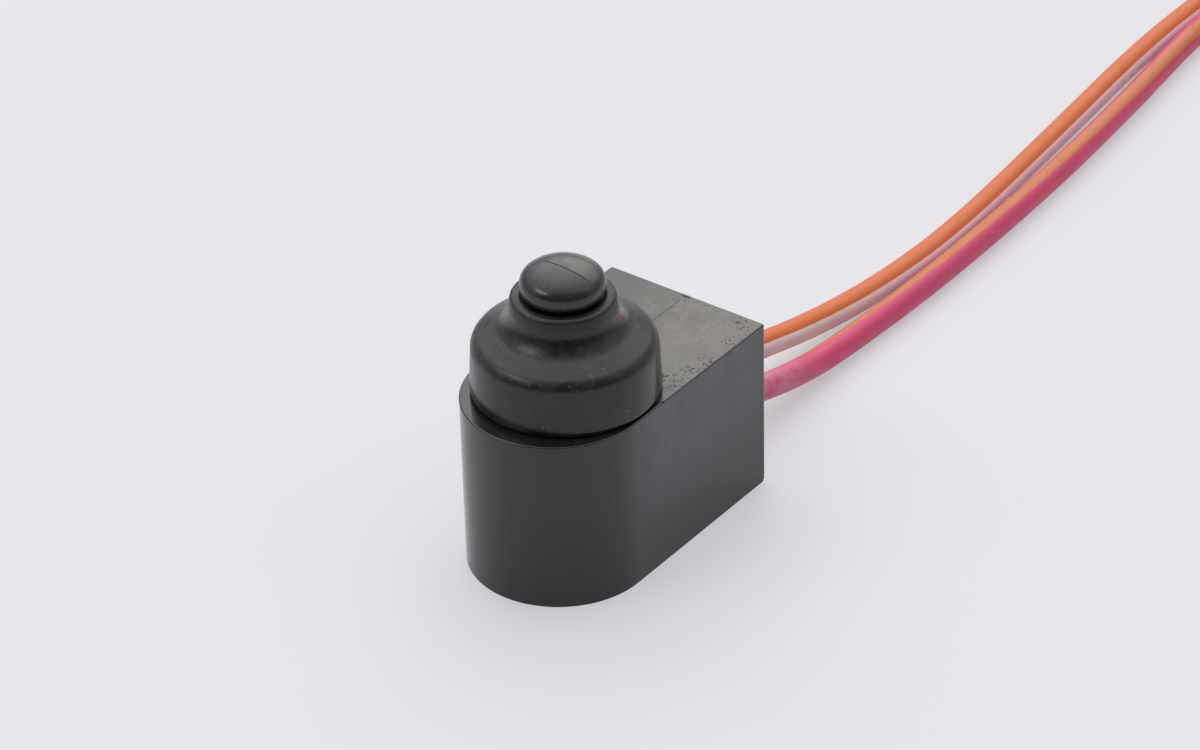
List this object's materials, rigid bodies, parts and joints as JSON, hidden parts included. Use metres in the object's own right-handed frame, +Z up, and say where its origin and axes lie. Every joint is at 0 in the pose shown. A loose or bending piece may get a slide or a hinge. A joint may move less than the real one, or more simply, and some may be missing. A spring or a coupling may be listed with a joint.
{
  "type": "plunger brake light switch",
  "caption": "Sealed plunger switch: D-shaped black case, rubber boot round a domed button, sprung bridge contact inside, and two striped leads.",
  "frame": {"origin": "the plunger's axis where it meets the flat underside of the case", "axes": "+Z up along the plunger's axis towards the button, +X from the rounded front towards the leads, +Y across the case's width"},
  "size_m": [0.1197, 0.019, 0.021],
  "materials": {
    "case": "black glass-filled moulding, smooth flats with a soft sheen",
    "contact_base": "natural thermoplastic polyester moulding",
    "potting": "black casting resin",
    "boot": "matte black rubber",
    "plunger": "black acetal, polished by moulding",
    "spring_steel": "bright spring steel",
    "contact_brass": "rolled brass strip",
    "silver_contact": "silver contact rivets",
    "solder": "bright tin solder",
    "tinned_copper": "stranded copper",
    "lead_orange": "orange insulation with a pale grey tracer",
    "lead_pink": "pink insulation with an orange tracer",
    "lead_hank": "the two leads, orange and pink, folded together in a hank",
    "hank_tie": "black tie"
  },
  "bodies": {
    "switch_case": {"case": "case", "contact_base": "contact_base", "potting": "potting", "boot": "boot", "return_spring": "spring_steel", "fixed_contact_far": "silver_contact", "fixed_contact_near": "silver_contact", "terminal_far": "contact_brass", "terminal_near": "contact_brass", "solder_far": "solder", "solder_near": "solder", "conductor_far": "tinned_copper", "conductor_near": "tinned_copper", "lead_orange": "lead_orange", "lead_pink": "lead_pink", "lead_hank": "lead_hank", "hank_tie": "hank_tie"},
    "plunger_set": {"plunger": "plunger", "retaining_ring": "spring_steel", "spring_clip": "spring_steel", "contact_spring": "spring_steel", "contact_bridge": "contact_brass", "bridge_contact_far": "silver_contact", "bridge_contact_near": "silver_contact"}
  },
  "joints": [
    {"name": "plunger_press", "type": "slide", "parent": "switch_case", "child": "plunger_set", "axis": [0, 0, -1], "range_m": [0, 0.0022], "stiffness_N_per_m": 600, "springref_m": -0.0015, "deforming": ["boot", "return_spring"]}
  ]
}
